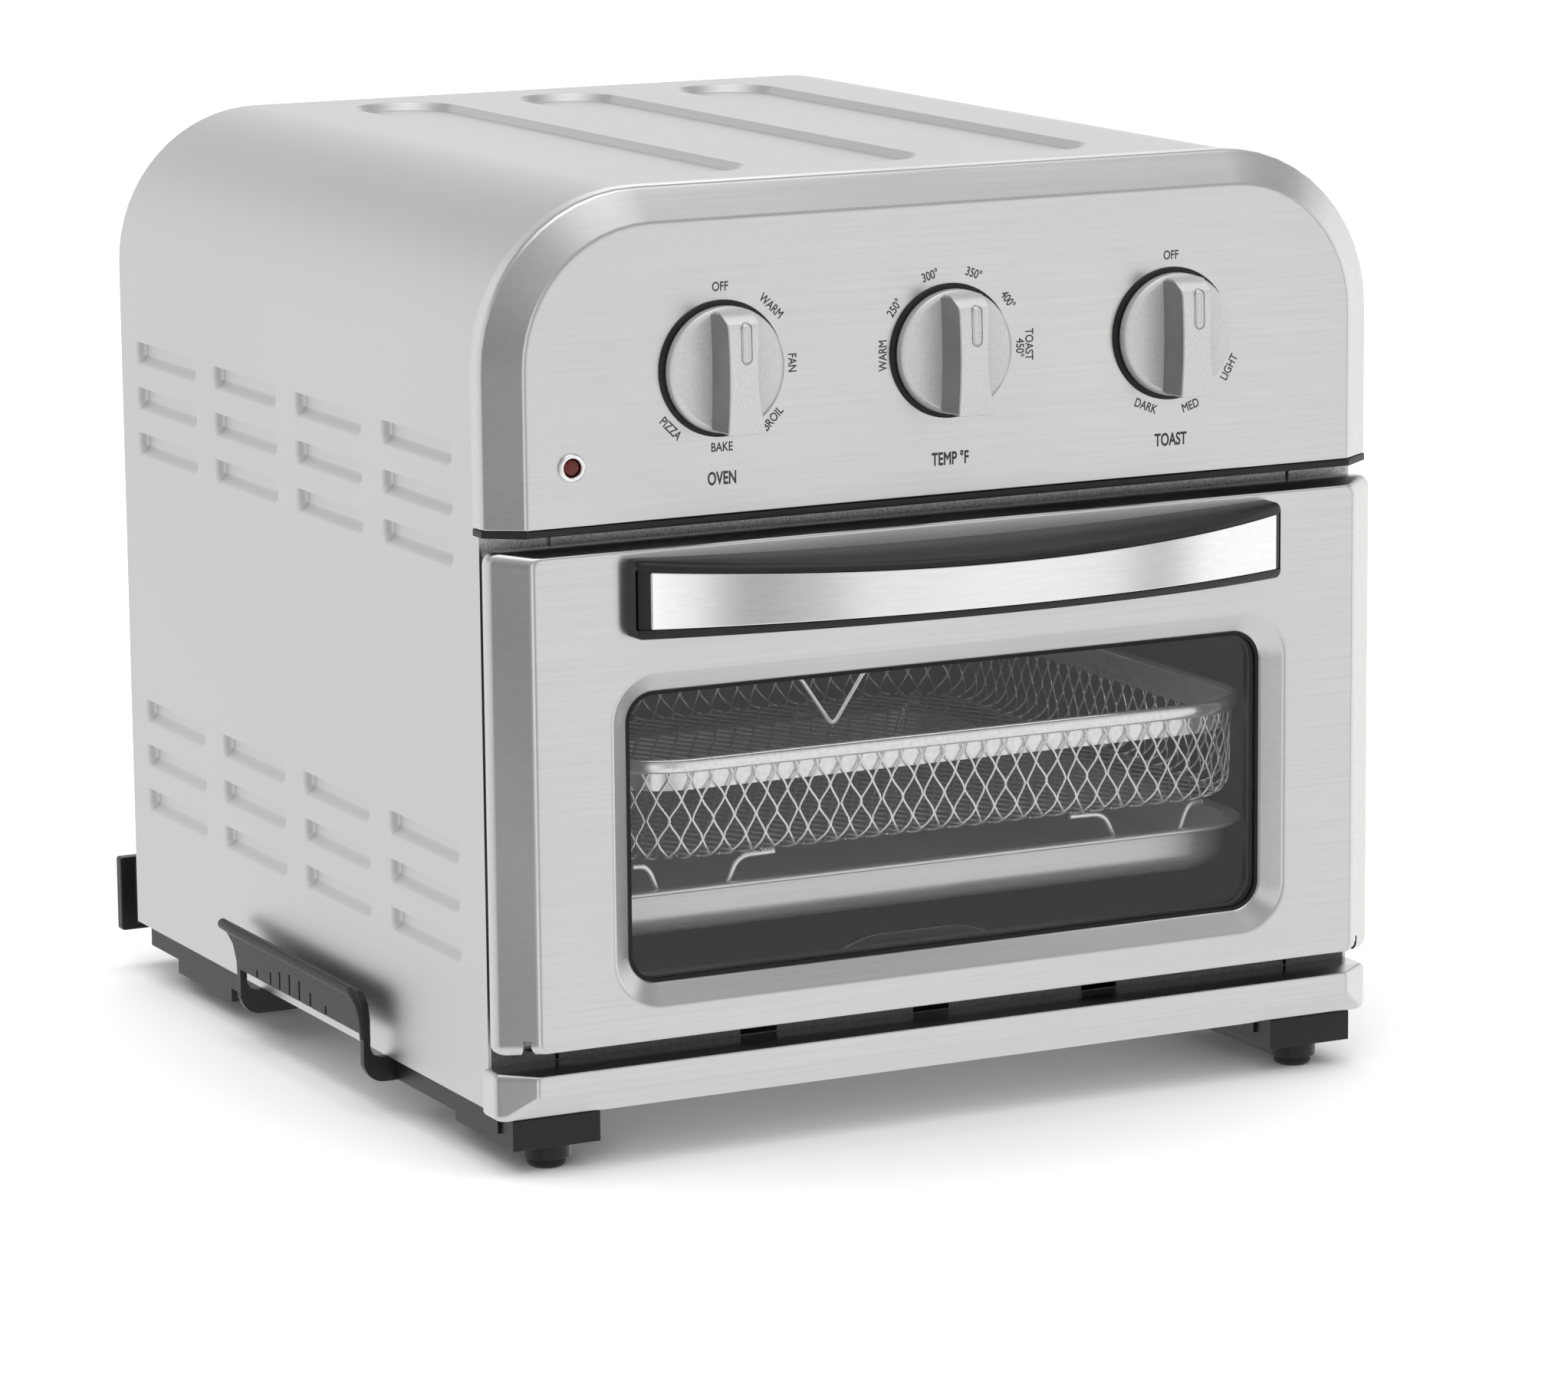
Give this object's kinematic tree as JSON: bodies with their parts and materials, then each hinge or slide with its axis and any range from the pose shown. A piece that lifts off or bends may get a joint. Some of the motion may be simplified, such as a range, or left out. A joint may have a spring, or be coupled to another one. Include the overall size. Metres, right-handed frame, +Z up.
{
  "type": "toaster oven",
  "caption": "Countertop air-fry toaster oven with a drop-down glass door, rotary controls, mesh basket in a baking pan, crumb tray and a fan above the cavity.",
  "frame": {"origin": "centre of the overall footprint on the surface that the feet stand on", "axes": "+X to the right seen from the front, +Y from the door towards the back, +Z up"},
  "size_m": [0.331, 0.3794, 0.3068],
  "materials": {
    "shell_steel": "satin stainless sheet",
    "front_steel": "horizontally brushed stainless",
    "galvanised_steel": "zinc plated sheet",
    "black_plastic": "black heat-resistant plastic, fine texture",
    "rubber": "black silicone rubber",
    "cavity_steel": "aluminised steel",
    "heater_sheath": "dark oxidised heater sheath",
    "insulator_ceramic": "white steatite",
    "bright_wire": "bright plated wire and mesh",
    "fan_aluminium": "pressed aluminium",
    "shaft_steel": "turned steel",
    "motor_iron": "laminated iron and copper",
    "control_housing": "heat-resistant moulding",
    "bell_brass": "spun bell metal",
    "wire_sleeve": "braided glass sleeve",
    "knob_silver": "silver satin paint",
    "knob_inlay": "dark grey inlay",
    "chrome_ring": "polished chrome",
    "red_lens": "translucent red",
    "lamp_glass": "clear neon lamp",
    "door_glass": "tinted tempered glass",
    "handle_steel": "polished stainless",
    "pan_steel": "aluminised baking pan"
  },
  "bodies": {
    "chassis": {"outer_shell": "shell_steel", "rear_panel": "galvanised_steel", "base_plate": "galvanised_steel", "base_rail_left": "black_plastic", "base_rail_right": "black_plastic", "foot_pads": "rubber", "front_frame": "cavity_steel", "control_panel": "front_steel", "divider_strip": "black_plastic", "lower_trim": "front_steel", "cavity_wrap": "cavity_steel", "cavity_back": "cavity_steel", "rack_guides": "cavity_steel", "upper_heaters": "heater_sheath", "lower_heaters": "heater_sheath", "heater_insulators": "insulator_ceramic", "element_hanger": "bright_wire", "fan_guard": "cavity_steel", "fan_motor": "motor_iron", "motor_bracket": "galvanised_steel", "function_switch": "control_housing", "thermostat": "control_housing", "toast_timer": "control_housing", "timer_bell": "bell_brass", "internal_wires": "wire_sleeve", "knob_bezels": "black_plastic", "indicator_bezel": "chrome_ring", "indicator_lens": "red_lens", "indicator_lamp": "lamp_glass", "hinge_brackets": "galvanised_steel", "rear_spacers": "black_plastic", "cord_gland": "black_plastic", "rear_screws": "shaft_steel", "base_screws": "shaft_steel"},
    "fan": {"hot_air_fan": "fan_aluminium", "fan_shaft": "shaft_steel", "cooling_fan": "fan_aluminium"},
    "function_control": {"function_shaft": "shaft_steel", "function_knob": "knob_silver", "function_inlay": "knob_inlay"},
    "temperature_control": {"temperature_shaft": "shaft_steel", "temperature_knob": "knob_silver", "temperature_inlay": "knob_inlay"},
    "timer_control": {"timer_shaft": "shaft_steel", "timer_knob": "knob_silver", "timer_inlay": "knob_inlay"},
    "door": {"door_panel": "front_steel", "door_inner_frame": "cavity_steel", "door_glass": "door_glass", "door_gasket": "rubber", "door_handle": "black_plastic", "handle_plate": "handle_steel", "handle_screws": "shaft_steel", "hinge_blocks": "galvanised_steel", "hinge_pins": "shaft_steel", "hinge_springs": "bright_wire"},
    "crumb_tray": {"crumb_tray": "cavity_steel"},
    "baking_set": {"baking_pan": "pan_steel", "basket": "bright_wire", "basket_feet": "bright_wire"}
  },
  "joints": [
    {"name": "door_hinge", "type": "hinge", "parent": "chassis", "child": "door", "pos_m": [0, -0.1453, 0.0458], "axis": [1, 0, 0], "range_deg": [0, 90]},
    {"name": "pan_slide", "type": "slide", "parent": "chassis", "child": "baking_set", "axis": [0, -1, 0], "range_m": [0, 0.056]},
    {"name": "crumb_tray_slide", "type": "slide", "parent": "chassis", "child": "crumb_tray", "axis": [0, -1, 0], "range_m": [0, 0.025]},
    {"name": "function_knob_turn", "type": "hinge", "parent": "chassis", "child": "function_control", "pos_m": [-0.08, -0.1543, 0.25], "axis": [0, 1, 0], "range_deg": [0, 225]},
    {"name": "temperature_knob_turn", "type": "hinge", "parent": "chassis", "child": "temperature_control", "pos_m": [0, -0.1543, 0.25], "axis": [0, 1, 0], "range_deg": [-90, 90]},
    {"name": "timer_knob_turn", "type": "hinge", "parent": "chassis", "child": "timer_control", "pos_m": [0.08, -0.1543, 0.25], "axis": [0, 1, 0], "range_deg": [0, 240]},
    {"name": "fan_spin", "type": "hinge", "parent": "chassis", "child": "fan", "pos_m": [0, 0.0057, 0.2], "axis": [0, 0, 1], "continuous": true}
  ],
  "couplings": [
    {"joint": "pan_slide", "follows": "door_hinge", "m_per_rad": 0.035},
    {"joint": "crumb_tray_slide", "follows": "door_hinge", "m_per_rad": 0.0155}
  ]
}
